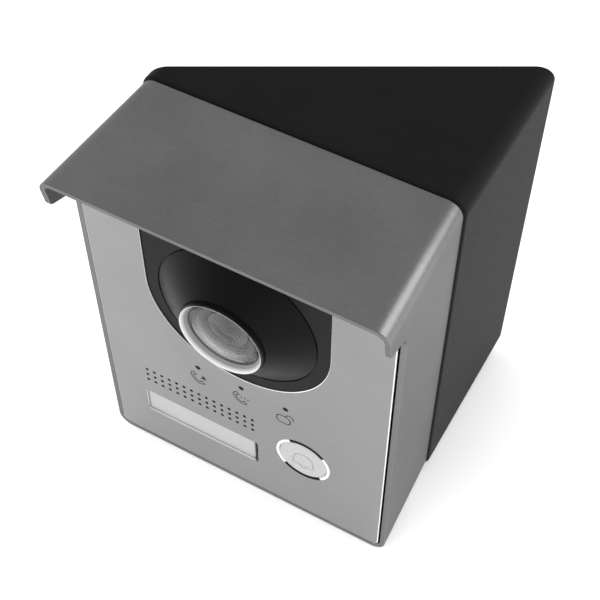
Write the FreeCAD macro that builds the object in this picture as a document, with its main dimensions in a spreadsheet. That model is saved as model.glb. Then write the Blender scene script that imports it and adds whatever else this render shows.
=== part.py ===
import FreeCAD, Part
import Sketcher
import math
import os

# Video door station on an angled wall bracket.  Millimetres, +Z up.
#
# Row frame: the wall is the plane Y = 0, the station stands out of it towards -Y, and the
# origin is the middle of the bracket's wall face.
#
# The station itself is modelled square, in its own frame: x to the right, z up from the
# hood's lower rear edge, and depth d measured forwards from the bracket's front face (d = -y).
# Every station piece then takes the same Placement: turned about Z by the wedge angle and
# moved so that the wedge's back lies on the wall.

V = FreeCAD.Vector
doc = FreeCAD.newDocument("video_doorbell")
sheet = doc.addObject("Spreadsheet::Sheet", "Dims")

DIMS = [
    ("wedge_angle", 29.4, "angle between the station and the wall, degrees"),
    ("wedge_thin", 3.2, "wedge thickness at the hood's left edge"),
    ("wedge_rim", 0.7, "wedge outline outside the hood outline"),
    ("wedge_wall", 3.0, "wedge wall thickness"),
    ("hood_half", 51.0, "half width of the hood at its back"),
    ("hood_tall", 136.0, "height of the hood at its back"),
    ("hood_bend", 5.0, "outer bend radius of the hood"),
    ("hood_sheet", 1.8, "hood wall"),
    ("hood_flange", 8.5, "hood's rear flange"),
    ("hood_taper", 0.05, "how much each side and the bottom open out per mm of depth"),
    ("hood_deep", 35.2, "depth of the surround"),
    ("visor_deep", 48.05, "depth of the visor at its top"),
    ("wing_rear", 121.15, "height where the wing's lower edge meets the surround"),
    ("wing_front", 124.55, "height of the wing's lower front corner"),
    ("wing_deep", 46.2, "depth of the wing's lower front corner"),
    ("plate_sheet", 1.5, "front plate thickness"),
    ("plate_face", 35.6, "depth of the front plate's face"),
    ("plate_half", 50.5, "half width of the front plate"),
    ("plate_low", 1.15, "bottom of the front plate"),
    ("plate_top", 133.4, "top of the front plate"),
    ("plate_round", 2.2, "front plate corner radius"),
    ("frame_sheet", 2.5, "front frame thickness"),
    ("case_half", 48.0, "half width of the rear housing"),
    ("case_low", 4.5, "bottom of the rear housing"),
    ("case_top", 131.5, "top of the rear housing"),
    ("case_back", 5.0, "depth of the rear housing's back face"),
    ("case_wall", 2.2, "rear housing wall"),
    ("gasket_thick", 1.0, "housing gasket"),
    ("camera_high", 94.2, "height of the camera axis"),
    ("fascia_half", 30.65, "half width and bottom radius of the camera fascia"),
    ("fascia_top", 127.3, "top of the camera fascia"),
    ("cone_base", 26.3, "radius of the crease round the camera cone"),
    ("cone_tip", 14.3, "radius at the front of the camera cone"),
    ("cone_front", 42.9, "depth of the cone's front rim"),
    ("glass_rad", 11.8, "lens window radius"),
    ("ring_rad", 13.9, "outer radius of the bright ring round the lens window"),
    ("glass_rise", 2.9, "crown of the lens window"),
    ("led_high", 58.3, "height of the status windows"),
    ("led_step", 15.75, "spacing of the status windows"),
    ("led_mid", 0.25, "middle status window, across"),
    ("grille_left", -36.25, "first grille column"),
    ("grille_low", 36.8, "lowest grille row"),
    ("grille_step", 2.85, "grille pitch"),
    ("grille_hole", 0.6, "grille hole radius"),
    ("name_left", -38.1, "name plate cut-out, left"),
    ("name_right", 5.3, "name plate cut-out, right"),
    ("name_low", 17.4, "name plate cut-out, bottom"),
    ("name_top", 29.5, "name plate cut-out, top"),
    ("button_x", 22.15, "call button axis"),
    ("button_z", 33.2, "call button axis"),
    ("button_ring", 9.75, "outer radius of the ring round the button"),
    ("button_cap", 8.6, "radius of the button face"),
    ("board_front", 20.5, "depth of the main board's front face"),
    ("board_sheet", 1.6, "main board thickness"),
    ("board_half", 38.5, "half width of the main board"),
    ("fix_x", 36.0, "mounting screws, half spacing across"),
    ("fix_z", 48.0, "mounting screws, half spacing up"),
    ("wall_x", 22.0, "wall screws, half spacing across"),
    ("wall_z", 29.0, "wall screws, half spacing up"),
    ("wall_mid", -17.0, "middle of the wall screw pattern"),
    ("wall_hole", 2.25, "wall screw hole radius"),
    ("wedge_soft", 1.0, "rounding of the wedge's front edge"),
    ("hood_soft", 0.35, "rounding of the hood's front edges"),
    ("hood_back", 0.5, "rounding of the hood's rear outline"),
    ("plate_soft", 0.45, "rounding of the front plate's outline"),
]


class Q:
    """A size and the sheet expression that gives it."""

    def __init__(self, v, t):
        self.v = float(v)
        self.t = t

    def __add__(self, o):
        o = q(o)
        return Q(self.v + o.v, "(%s + %s)" % (self.t, o.t))

    def __sub__(self, o):
        o = q(o)
        return Q(self.v - o.v, "(%s - %s)" % (self.t, o.t))

    def __mul__(self, o):
        o = q(o)
        return Q(self.v * o.v, "(%s * %s)" % (self.t, o.t))

    def __truediv__(self, o):
        o = q(o)
        return Q(self.v / o.v, "(%s / %s)" % (self.t, o.t))

    def __neg__(self):
        return Q(-self.v, "(0 - %s)" % self.t)

    def __radd__(self, o):
        return q(o) + self

    def __rsub__(self, o):
        return q(o) - self

    def __rmul__(self, o):
        return q(o) * self


def q(o):
    if isinstance(o, Q):
        return o
    return Q(o, "%.6f" % o if o >= 0 else "(0 - %.6f)" % -o)


class D:
    pass


for i, (name, value, note) in enumerate(DIMS):
    sheet.set("A%d" % (i + 1), name)
    sheet.set("B%d" % (i + 1), str(value))
    sheet.setAlias("B%d" % (i + 1), name)
    sheet.set("C%d" % (i + 1), note)
    setattr(D, name, Q(value, "Dims.%s" % name))
doc.recompute()

ANG = math.radians(D.wedge_angle.v)
CT, ST, TT = math.cos(ANG), math.sin(ANG), math.tan(ANG)
MID_Z = D.hood_tall.v / 2
# middle of the wall face, in the station frame turned to the wall
OFF_X = (D.wedge_thin.v + D.hood_half.v * TT) * ST
OFF_Y = -(D.hood_half.v * ST + D.wedge_thin.v * CT)
STATION = FreeCAD.Placement(V(-OFF_X, OFF_Y, -MID_Z), FreeCAD.Rotation(V(0, 0, 1), -D.wedge_angle.v))

BODIES = []
FEATURES = []


class Piece:
    """One sub-part: a body in the station frame, with short calls for its features."""

    def __init__(self, label, place=STATION):
        self.label = label
        self.body = doc.addObject("PartDesign::Body", label)
        self.body.Label = label
        self.place = place
        self.body.Placement = place
        self.count = 0
        BODIES.append(self)

    def plane(self, role):
        return [f for f in self.body.Origin.OriginFeatures if f.Role == role][0]

    def sketch(self, role="XZ_Plane", base=(0, 0, 0)):
        self.count += 1
        sk = self.body.newObject("Sketcher::SketchObject", "%s_s%d" % (self.label, self.count))
        sk.AttachmentSupport = [(self.plane(role), "")]
        sk.MapMode = "FlatFace"
        b = [q(c) for c in base]
        sk.AttachmentOffset = FreeCAD.Placement(V(b[0].v, b[1].v, b[2].v), FreeCAD.Rotation())
        for axis, c in zip("xyz", b):
            if abs(c.v) > 1e-9:
                sk.setExpression("AttachmentOffset.Base.%s" % axis, c.t)
        return sk

    def pin(self, sk, geo, pos, x, y):
        """Fixes a sketch point at (x, y) from the sketch origin."""
        for kind, val, ref in (("DistanceX", q(x), -2), ("DistanceY", q(y), -1)):
            if abs(val.v) < 1e-9:
                sk.addConstraint(sketch_constraint("PointOnObject", geo, pos, ref))
            else:
                n = sk.addConstraint(sketch_constraint(kind, -1, 1, geo, pos, val.v))
                sk.setExpression("Constraints[%d]" % n, val.t)

    def put_circle(self, sk, x, y, r):
        x, y, r = q(x), q(y), q(r)
        g = sk.addGeometry(Part.Circle(V(x.v, y.v, 0), V(0, 0, 1), r.v), False)
        n = sk.addConstraint(sketch_constraint("Radius", g, r.v))
        sk.setExpression("Constraints[%d]" % n, r.t)
        self.pin(sk, g, 3, x, y)

    def put_poly(self, sk, pts, arcs=None):
        """Closed outline.  arcs: {index: (radius, bulge side)} makes the edge after that point an arc."""
        arcs = arcs or {}
        pts = [(q(a), q(b)) for a, b in pts]
        n = len(pts)
        ends = []
        for i in range(n):
            a = V(pts[i][0].v, pts[i][1].v, 0)
            b = V(pts[(i + 1) % n][0].v, pts[(i + 1) % n][1].v, 0)
            if i in arcs:
                r, side = q(arcs[i][0]), arcs[i][1]
                mid = (a + b) * 0.5
                half = (b - a).Length / 2
                nrm = V(-(b - a).y, (b - a).x, 0).normalize()
                centre = mid + nrm * (side * math.sqrt(max(r.v ** 2 - half ** 2, 0)))
                a0 = math.atan2(a.y - centre.y, a.x - centre.x)
                a1 = math.atan2(b.y - centre.y, b.x - centre.x)
                # centre on the left of a->b turns anticlockwise from a to b
                if side > 0:
                    while a1 < a0:
                        a1 += 2 * math.pi
                    g = sk.addGeometry(Part.ArcOfCircle(Part.Circle(centre, V(0, 0, 1), r.v), a0, a1), False)
                    ends.append((g, 1, 2))
                else:
                    while a0 < a1:
                        a0 += 2 * math.pi
                    g = sk.addGeometry(Part.ArcOfCircle(Part.Circle(centre, V(0, 0, 1), r.v), a1, a0), False)
                    ends.append((g, 2, 1))
                c = sk.addConstraint(sketch_constraint("Radius", g, r.v))
                sk.setExpression("Constraints[%d]" % c, r.t)
            else:
                g = sk.addGeometry(Part.LineSegment(a, b), False)
                ends.append((g, 1, 2))
        for i in range(n):
            g, s, _ = ends[i]
            pg, _, pe = ends[i - 1]
            sk.addConstraint(sketch_constraint("Coincident", pg, pe, g, s))
            self.pin(sk, g, s, pts[i][0], pts[i][1])

    def put_round(self, sk, x0, x1, y0, y1, r):
        """Rectangle with rounded corners."""
        x0, x1, y0, y1, r = q(x0), q(x1), q(y0), q(y1), q(r)
        X0, X1, Y0, Y1, R = x0.v, x1.v, y0.v, y1.v, r.v
        k = V(0, 0, 1)
        pi = math.pi
        line, arc, circ = Part.LineSegment, Part.ArcOfCircle, Part.Circle
        g = sk.addGeometry([
            line(V(X0 + R, Y0, 0), V(X1 - R, Y0, 0)),
            arc(circ(V(X1 - R, Y0 + R, 0), k, R), -pi / 2, 0),
            line(V(X1, Y0 + R, 0), V(X1, Y1 - R, 0)),
            arc(circ(V(X1 - R, Y1 - R, 0), k, R), 0, pi / 2),
            line(V(X1 - R, Y1, 0), V(X0 + R, Y1, 0)),
            arc(circ(V(X0 + R, Y1 - R, 0), k, R), pi / 2, pi),
            line(V(X0, Y1 - R, 0), V(X0, Y0 + R, 0)),
            arc(circ(V(X0 + R, Y0 + R, 0), k, R), pi, 1.5 * pi),
        ], False)
        for i in range(8):
            sk.addConstraint(sketch_constraint("Tangent", g[i], 2, g[(i + 1) % 8], 1))
        sk.addConstraint(sketch_constraint("Horizontal", g[0]))
        sk.addConstraint(sketch_constraint("Horizontal", g[4]))
        sk.addConstraint(sketch_constraint("Vertical", g[2]))
        sk.addConstraint(sketch_constraint("Vertical", g[6]))
        for j in (3, 5, 7):
            sk.addConstraint(sketch_constraint("Equal", g[1], g[j]))
        n = sk.addConstraint(sketch_constraint("Radius", g[1], R))
        sk.setExpression("Constraints[%d]" % n, r.t)
        for kind, geo, val in (("DistanceY", g[0], y0), ("DistanceY", g[4], y1), ("DistanceX", g[2], x1), ("DistanceX", g[6], x0)):
            if abs(val.v) < 1e-9:
                sk.addConstraint(sketch_constraint("PointOnObject", geo, 1, -1 if kind == "DistanceY" else -2))
            else:
                n = sk.addConstraint(sketch_constraint(kind, -1, 1, geo, 1, val.v))
                sk.setExpression("Constraints[%d]" % n, val.t)

    def put_u(self, sk, half, zc, top):
        """Outline with a half-round bottom and straight sides up to a flat top."""
        half, zc, top = q(half), q(zc), q(top)
        R, Z, T = half.v, zc.v, top.v
        g = sk.addGeometry([
            Part.ArcOfCircle(Part.Circle(V(0, Z, 0), V(0, 0, 1), R), math.pi, 2 * math.pi),
            Part.LineSegment(V(R, Z, 0), V(R, T, 0)),
            Part.LineSegment(V(R, T, 0), V(-R, T, 0)),
            Part.LineSegment(V(-R, T, 0), V(-R, Z, 0)),
        ], False)
        sk.addConstraint(sketch_constraint("Tangent", g[0], 2, g[1], 1))
        sk.addConstraint(sketch_constraint("Tangent", g[3], 2, g[0], 1))
        sk.addConstraint(sketch_constraint("Coincident", g[1], 2, g[2], 1))
        sk.addConstraint(sketch_constraint("Coincident", g[2], 2, g[3], 1))
        sk.addConstraint(sketch_constraint("Horizontal", g[2]))
        sk.addConstraint(sketch_constraint("Vertical", g[1]))
        sk.addConstraint(sketch_constraint("Vertical", g[3]))
        n = sk.addConstraint(sketch_constraint("Radius", g[0], R))
        sk.setExpression("Constraints[%d]" % n, half.t)
        self.pin(sk, g[0], 3, 0, zc)
        n = sk.addConstraint(sketch_constraint("DistanceY", -1, 1, g[1], 2, T))
        sk.setExpression("Constraints[%d]" % n, top.t)

    def feature(self, kind, sk):
        self.count += 1
        f = self.body.newObject("PartDesign::%s" % kind, "%s_f%d" % (self.label, self.count))
        f.Profile = sk
        sk.Visibility = False
        FEATURES.append((self.label, kind, f))
        return f

    def pad(self, d0, d1, *shapes, role="XZ_Plane", base=(0, 0)):
        """Pads the outlines from depth d0 forwards to d1."""
        d0, d1 = q(d0), q(d1)
        sk = self.sketch(role, (base[0], base[1], d0))
        for s in shapes:
            getattr(self, "put_" + s[0])(sk, *s[1:])
        f = self.feature("Pad", sk)
        f.Length = d1.v - d0.v
        f.setExpression("Length", (d1 - d0).t)
        return f

    def cut(self, d0, d1, *shapes, role="XZ_Plane", base=(0, 0)):
        """Pockets the outlines between depths d0 and d1 (cut backwards from d1)."""
        d0, d1 = q(d0), q(d1)
        sk = self.sketch(role, (base[0], base[1], d1))
        for s in shapes:
            getattr(self, "put_" + s[0])(sk, *s[1:])
        f = self.feature("Pocket", sk)
        f.Length = d1.v - d0.v
        f.setExpression("Length", (d1 - d0).t)
        return f

    def turn(self, x, z, pts, arcs=None, kind="Revolution"):
        """Revolves an outline given as (radius, depth) about the depth axis through (x, z)."""
        sk = self.sketch("XY_Plane", (x, 0, z))
        self.put_poly(sk, [(r, -q(d)) for r, d in pts], arcs)
        f = self.feature(kind, sk)
        f.ReferenceAxis = (sk, ["V_Axis"])
        f.Angle = 360.0
        return f

    def pattern(self, original, sk, axis, length, times):
        self.count += 1
        p = self.body.newObject("PartDesign::LinearPattern", "%s_p%d" % (self.label, self.count))
        p.Originals = [original]
        p.Direction = (sk, [axis])
        p.Length = q(length).v
        p.setExpression("Length", q(length).t)
        p.Occurrences = times
        self.body.Tip = p
        FEATURES.append((self.label, "LinearPattern", p))
        return p

    def soften(self, radius, chooser, kind="Fillet"):
        """Fillets or chamfers the edges that chooser(edge) accepts, measured in the station frame."""
        doc.recompute()
        tip = self.body.Tip
        names = ["Edge%d" % (i + 1) for i, e in enumerate(tip.Shape.Edges) if chooser(e)]
        if not names:
            raise RuntimeError("no edges chosen on %s" % self.label)
        self.count += 1
        f = self.body.newObject("PartDesign::%s" % kind, "%s_e%d" % (self.label, self.count))
        f.Base = (tip, names)
        r = q(radius)
        prop = "Radius" if kind == "Fillet" else "Size"
        setattr(f, prop, r.v)
        f.setExpression(prop, r.t)
        FEATURES.append((self.label, kind, f))
        self.body.Tip = f
        return f


def sketch_constraint(*args):
    return Sketcher.Constraint(*args)


def near(a, b, tol=0.02):
    return abs(a - b) < tol


# derived levels, as depths from the bracket's front face
FACE = D.plate_face
REAR = FACE - D.plate_sheet                 # back of the plate, front of the frame
FRAME = REAR - D.frame_sheet                # back of the frame
RIM = FRAME - D.gasket_thick                # front rim of the rear housing
FLOOR = D.case_back + D.case_wall           # inside of the rear housing's back wall
BOARD = D.board_front
BOARD_B = D.board_front - D.board_sheet
CZ = D.camera_high
BX, BZ = D.button_x, D.button_z
HALF_Z = D.hood_tall / 2
CLAMP = D.hood_sheet                        # mounting plate sits on the hood's flange
PLATE_T = 1.5
CLAMP_F = CLAMP + PLATE_T


# ---------------------------------------------------------------- wedge bracket
# A hollow wedge: the hood's outline plus a narrow rim, extruded back to the wall plane.
wedge = Piece("wedge_bracket")
wr = D.wedge_rim
wedge.pad(-66, 0, ("round", -(D.hood_half + wr), D.hood_half + wr, -wr, D.hood_tall + wr, D.hood_bend + wr))
doc.recompute()


def wall_y(x):
    return D.wedge_thin.v + (x + D.hood_half.v) * TT


# plan-view cut along the wall plane
far = 75.0
wt = D.wedge_thin


def wall_q(x, back=0.0):
    """Depth of the wall plane (negative) at station x, less a wall measured square to it."""
    xx = q(x)
    return Q(wall_y(xx.v) - back / CT, "(%s + (%s + %s) * tan(%s * 1 deg) - %.6f / cos(%s * 1 deg))" % (
        D.wedge_thin.t, xx.t, D.hood_half.t, D.wedge_angle.t, back, D.wedge_angle.t))


sk = wedge.sketch("XY_Plane", (0, 0, 140))
wedge.put_poly(sk, [(-60, wall_q(-60)), (60, wall_q(60)), (60, 80), (-60, 80)])
f = wedge.feature("Pocket", sk)
f.Length = 150
# hollow between the front wall and the back wall
ww = D.wedge_wall
sk = wedge.sketch("XY_Plane", (0, 0, D.hood_tall + wr - ww))
wedge.put_poly(sk, [(-40.0, ww), (D.hood_half + wr - ww, ww), (D.hood_half + wr - ww, wall_q(D.hood_half.v + wr.v - ww.v, 3.0)), (-40.0, wall_q(-40.0, 3.0))])
f = wedge.feature("Pocket", sk)
f.Length = (D.hood_tall + wr * 2 - ww * 2).v
f.setExpression("Length", (D.hood_tall + wr * 2 - ww * 2).t)
# access opening in the front wall
wedge.cut(-ww - 0.5, 0, ("round", -38, 30, 34, 102, 6))
# screw bosses behind the front wall, and their holes
fx, fz = D.fix_x, D.fix_z
corners = [(sx * fx, HALF_Z + sz * fz) for sx in (-1, 1) for sz in (-1, 1)]
wedge.pad(-7.4, -(ww - 0.5), *[("circle", x, z, 4.6) for x, z in corners])
wedge.cut(-7.4, 0, *[("circle", x, z, 2.05) for x, z in corners])
# clean the thin side, where a boss can reach through the back
sk = wedge.sketch("XY_Plane", (0, 0, 140))
wedge.put_poly(sk, [(-60, wall_q(-60)), (60, wall_q(60)), (60, 80), (-60, 80)])
f = wedge.feature("Pocket", sk)
f.Length = 150


# The wall screw holes and the cable hole run square to the wall, so they are drawn on a
# sketch plane turned with it.
def wall_sketch(piece, lift):
    s = piece.body.newObject("Sketcher::SketchObject", "%s_w%d" % (piece.label, piece.count))
    piece.count += 1
    s.AttachmentSupport = [(piece.plane("XZ_Plane"), "")]
    s.MapMode = "FlatFace"
    # the wall plane in the station frame: its middle is at x = 0, y = wall_y(0)
    # sketch axes: x along the wall, y up, normal out of the wall
    s.AttachmentOffset = FreeCAD.Placement(V(lift * ST, MID_Z, -wall_y(0) + lift * CT), FreeCAD.Rotation(V(0, 1, 0), D.wedge_angle.v))
    return s


sk = wall_sketch(wedge, 8.0)
for sx in (-1, 1):
    for sz in (-1, 1):
        wedge.put_circle(sk, D.wall_mid + sx * D.wall_x, sz * D.wall_z, D.wall_hole)
wedge.put_round(sk, 10, 44, -22, 22, 5)
f = wedge.feature("Pocket", sk)
f.Length = 12.0
doc.recompute()


def outline_edge(e, y, half):
    """Edges of the outer outline in the plane at depth -y."""
    return all(near(v.Point.y, y) for v in e.Vertexes) and len(e.Vertexes) == 2 and all(
        abs(v.Point.x) > half or v.Point.z < 6.0 or v.Point.z > D.hood_tall.v - 6.0 for v in e.Vertexes)


wedge.soften(D.wedge_soft, lambda e: outline_edge(e, 0, D.hood_half.v - 6.0))

# ---------------------------------------------------------------- rain hood
# One shell round all four sides.  The sides and the bottom open out slightly towards the
# front, the top runs on as a visor, and the side wings taper back to the surround.
hood = Piece("rain_hood")
hh, ht, hb, hs, tp = D.hood_half, D.hood_tall, D.hood_bend, D.hood_sheet, D.hood_taper
vd, sd = D.visor_deep, D.hood_deep


def loft(piece, kind, near_d, far_d, inset, bend):
    a = piece.sketch("XZ_Plane", (0, 0, near_d))
    piece.put_round(a, -(hh + tp * near_d - inset), hh + tp * near_d - inset, inset - tp * near_d, ht - inset, bend)
    b = piece.sketch("XZ_Plane", (0, 0, far_d))
    piece.put_round(b, -(hh + tp * far_d - inset), hh + tp * far_d - inset, inset - tp * far_d, ht - inset, bend)
    piece.count += 1
    f = piece.body.newObject("PartDesign::%s" % kind, "%s_l%d" % (piece.label, piece.count))
    f.Profile = a
    f.Sections = [b]
    f.Ruled = True
    FEATURES.append((piece.label, kind, f))
    return f


loft(hood, "AdditiveLoft", q(0), vd + 1, q(0), hb)
loft(hood, "SubtractiveLoft", hs, vd + 3, hs, hb - hs)
hood.cut(-1, hs + 0.01, ("round", -(hh - hs - D.hood_flange), hh - hs - D.hood_flange, hs + D.hood_flange, ht - hs - D.hood_flange, 4))
sk = hood.sketch("YZ_Plane", (0, 0, 70))
# the front edge leans back towards the wings' lower corners
lean = (vd - D.wing_deep) / (ht - D.wing_front)
hood.put_poly(sk, [(-sd, -12), (-sd, D.wing_rear), (-D.wing_deep, D.wing_front), (-(vd + lean * 4), ht + 4), (-62, ht + 4), (-62, -12)])
f = hood.feature("Pocket", sk)
f.Length = 140
# hole for the security screw, in the bottom
sk = hood.sketch("XY_Plane", (0, 0, 6))
hood.put_circle(sk, 0, -18, 1.7)
f = hood.feature("Pocket", sk)
f.Length = 12


def along_x(e):
    v = e.Vertexes
    if len(v) != 2:
        return False
    a, b = v[0].Point, v[1].Point
    return near(a.y, b.y) and near(a.z, b.z) and abs(a.x) > 45


hood.soften(7.0, lambda e: along_x(e) and near(e.Vertexes[0].Point.y, -sd.v) and near(e.Vertexes[0].Point.z, D.wing_rear.v))
hood.soften(2.2, lambda e: along_x(e) and near(e.Vertexes[0].Point.y, -D.wing_deep.v) and near(e.Vertexes[0].Point.z, D.wing_front.v))
hood.soften(D.hood_back, lambda e: outline_edge(e, 0, hh.v - 6.0))


def on_front(v):
    """On the visor's leaning front edge."""
    return near(v.Point.y, -(vd.v + lean.v * (v.Point.z - ht.v)), 0.01) and v.Point.z > D.wing_front.v


hood.soften(D.hood_soft, lambda e: len(e.Vertexes) == 2 and (all(on_front(v) for v in e.Vertexes) or all(near(v.Point.y, -sd.v) for v in e.Vertexes)))

# ---------------------------------------------------------------- mounting plate and screws
plate = Piece("mounting_plate")
plate.pad(CLAMP, CLAMP_F, ("round", -45, 45, 7, 129, 3))
plate.pad(CLAMP, CLAMP_F, ("poly", [(-8, 2.6), (8, 2.6), (8, 14), (-8, 14)]))
plate.cut(CLAMP - 1, CLAMP_F, ("round", -26, 26, 30, 104, 4))
plate.cut(CLAMP - 1, CLAMP_F, *[("circle", x, z, 2.15) for x, z in corners])
# forward tab under the housing, for the security screw
plate.pad(CLAMP, 24, ("poly", [(-8, 2.6), (8, 2.6), (8, 4.1), (-8, 4.1)]))
sk = plate.sketch("XY_Plane", (0, 0, 5))
plate.put_circle(sk, 0, -18, 1.7)
f = plate.feature("Pocket", sk)
f.Length = 4
# two hooks that the housing hangs on
for sx in (-1, 1):
    plate.pad(CLAMP, 8.7, ("poly", [(sx * 20 - 4, 112.3), (sx * 20 + 4, 112.3), (sx * 20 + 4, 113.8), (sx * 20 - 4, 113.8)]))
    plate.pad(7.5, 8.7, ("poly", [(sx * 20 - 4, 112.3), (sx * 20 + 4, 112.3), (sx * 20 + 4, 117.3), (sx * 20 - 4, 117.3)]))


def cross(x, z, a, b):
    """A plus-shaped outline, arms a long from the centre and b wide each side."""
    x, z = q(x), q(z)
    pts = [(b, b), (b, a), (-b, a), (-b, b), (-a, b), (-a, -b), (-b, -b), (-b, -a), (b, -a), (b, -b), (a, -b), (a, b)]
    return ("poly", [(x + px, z + pz) for px, pz in pts])


def fasteners(label, spots, head_r, head, shank_r, shank, drive=None, front=True):
    """Identical screws.  head and shank are (d0, d1); the drive recess is cut in the head's outer face."""
    p = Piece(label)
    p.body.AllowCompound = True
    p.pad(head[0], head[1], *[("circle", x, z, head_r) for x, z in spots])
    p.pad(shank[0], shank[1], *[("circle", x, z, shank_r) for x, z in spots])
    if drive:
        depth = 0.5 * (head[1] - head[0])
        if front:
            p.cut(head[1] - depth, head[1], *[cross(x, z, drive, drive * 0.22) for x, z in spots])
        else:
            p.cut(head[0], head[0] + depth, *[cross(x, z, drive, drive * 0.22) for x, z in spots])
    return p


fasteners("mounting_screws", corners, 3.7, (CLAMP_F.v, 4.7), 2.0, (-6.5, CLAMP_F.v), 2.0)

# ---------------------------------------------------------------- rear housing
case = Piece("rear_housing")
ch, cl, ctp, cb, cw = D.case_half, D.case_low, D.case_top, D.case_back, D.case_wall
case.pad(cb, RIM, ("round", -ch, ch, cl, ctp, 4))
case.cut(FLOOR, RIM, ("round", -(ch - cw), ch - cw, cl + cw, ctp - cw, 2))
joins = [(sx * 42.0, z) for sx in (-1, 1) for z in (11.0, 68.0, 125.0)]
case.pad(FLOOR - 0.2, 26.8, *[("circle", x, z, 3.4) for x, z in joins])
case.cut(cb, 26.8, *[("circle", x, z, 1.35) for x, z in joins])
case.cut(cb, 7.0, *[("circle", x, z, 3.0) for x, z in joins])
posts = [(sx * 33.0, z) for sx in (-1, 1) for z in (16.0, 120.0)]
case.pad(FLOOR - 0.2, BOARD_B, *[("circle", x, z, 3.0) for x, z in posts])
case.cut(9.0, BOARD_B, *[("circle", x, z, 1.1) for x, z in posts])
# hook slots, cable entry, tamper hole
case.cut(cb, FLOOR, *[("round", sx * 20 - 4.5, sx * 20 + 4.5, 107.0, 114.1, 0.6) for sx in (-1, 1)])
case.cut(cb, FLOOR, ("circle", 0, 60, 6.5))
case.cut(cb, FLOOR, ("circle", -30, 68, 2.3))
# boss for the security screw insert, in the bottom wall
case.pad(13.5, 22.5, ("poly", [(-4.5, cl + cw - 0.2), (4.5, cl + cw - 0.2), (4.5, 12.5), (-4.5, 12.5)]))
sk = case.sketch("XY_Plane", (0, 0, 13))
case.put_circle(sk, 0, -18, 2.4)
f = case.feature("Pocket", sk)
f.Length = 6.3
sk = case.sketch("XY_Plane", (0, 0, 13))
case.put_circle(sk, 0, -18, 1.7)
f = case.feature("Pocket", sk)
f.Length = 10

insert = Piece("security_insert")
sk = insert.sketch("XY_Plane", (0, 0, 6.9))
insert.put_circle(sk, 0, -18, 2.38)
f = insert.feature("Pad", sk)
f.Length = 5.0
sk = insert.sketch("XY_Plane", (0, 0, 12))
insert.put_circle(sk, 0, -18, 1.3)
f = insert.feature("Pocket", sk)
f.Length = 6

sec = Piece("security_screw")
sk = sec.sketch("XY_Plane", (0, 0, -2.76))
sec.put_circle(sk, 0, -18, 2.9)
f = sec.feature("Pad", sk)
f.Length = 1.7
sk = sec.sketch("XY_Plane", (0, 0, -1.2))
sec.put_circle(sk, 0, -18, 1.25)
f = sec.feature("Pad", sk)
f.Length = 12.4
sk = sec.sketch("XY_Plane", (0, 0, -1.8))
sec.put_poly(sk, [(1.25 * math.cos(math.radians(60 * k)), -18 + 1.25 * math.sin(math.radians(60 * k))) for k in range(6)])
f = sec.feature("Pocket", sk)
f.Length = 2

gasket = Piece("housing_gasket")
gasket.pad(RIM, FRAME, ("round", -ch, ch, cl, ctp, 4), ("round", -(ch - cw), ch - cw, cl + cw, ctp - cw, 2))

grommet = Piece("cable_grommet")
grommet.turn(0, 60, [(1.6, 4.0), (5.0, 4.0), (8.0, cb - 0.05), (8.0, cb), (6.45, cb), (6.45, FLOOR), (8.0, FLOOR), (7.4, FLOOR + 1.4), (2.6, FLOOR + 3.4), (1.6, FLOOR + 3.4)])

# ---------------------------------------------------------------- front frame
frame = Piece("front_frame")
ph, pl, pt, pr = D.plate_half, D.plate_low, D.plate_top, D.plate_round
frame.pad(FRAME, REAR, ("round", -(ph - 0.6), ph - 0.6, pl + 0.6, pt - 0.6, pr))
frame.pad(27.0, FRAME + 0.2, *[("circle", x, z, 3.4) for x, z in joins])
frame.cut(27.0, REAR - 0.9, *[("circle", x, z, 1.2) for x, z in joins])
frame.cut(REAR - 1.25, REAR, ("u", D.fascia_half + 2.2, CZ, D.fascia_top + 2.2))
frame.cut(FRAME - 0.1, REAR, ("circle", 0, CZ, 27.0))
leds = [(D.led_mid + k * D.led_step, D.led_high) for k in (-1, 0, 1)]
frame.cut(FRAME - 0.1, REAR, *[("circle", x, z, 1.7) for x, z in leds])
gl, gw, gs = D.grille_left, D.grille_low, D.grille_step
frame.cut(REAR - 0.3, REAR, ("round", gl - 1.7, gl + gs * 14 + 1.7, gw - 1.7, gw + gs * 2 + 1.7, 0.8))
frame.cut(FRAME - 0.1, REAR, ("round", gl - 1.2, gl + gs * 14 + 1.2, gw - 1.2, gw + gs * 2 + 1.2, 0.8))
nl, nr, nb, nt = D.name_left, D.name_right, D.name_low, D.name_top
frame.cut(FRAME - 0.1, REAR, ("round", nl + 0.05, nr - 1.75, nb + 0.05, nt - 0.05, 0.7))
frame.cut(FRAME - 0.1, REAR, ("round", nr - 1.4, nr - 0.2, nb + 3.4, nt - 1.0, 0.5))
frame.cut(REAR - 1.2, REAR, ("circle", BX, BZ, 11.4))
frame.cut(FRAME - 0.1, REAR, ("circle", BX, BZ, 10.6))

# ---------------------------------------------------------------- front plate
panel = Piece("front_panel")
panel.pad(REAR, FACE, ("round", -ph, ph, pl, pt, pr))
panel.soften(D.plate_soft, lambda e: len(e.Vertexes) == 2 and all(near(v.Point.y, -FACE.v) for v in e.Vertexes))
panel.cut(REAR - 0.1, FACE, ("u", D.fascia_half + 0.12, CZ, D.fascia_top + 0.12))
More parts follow.
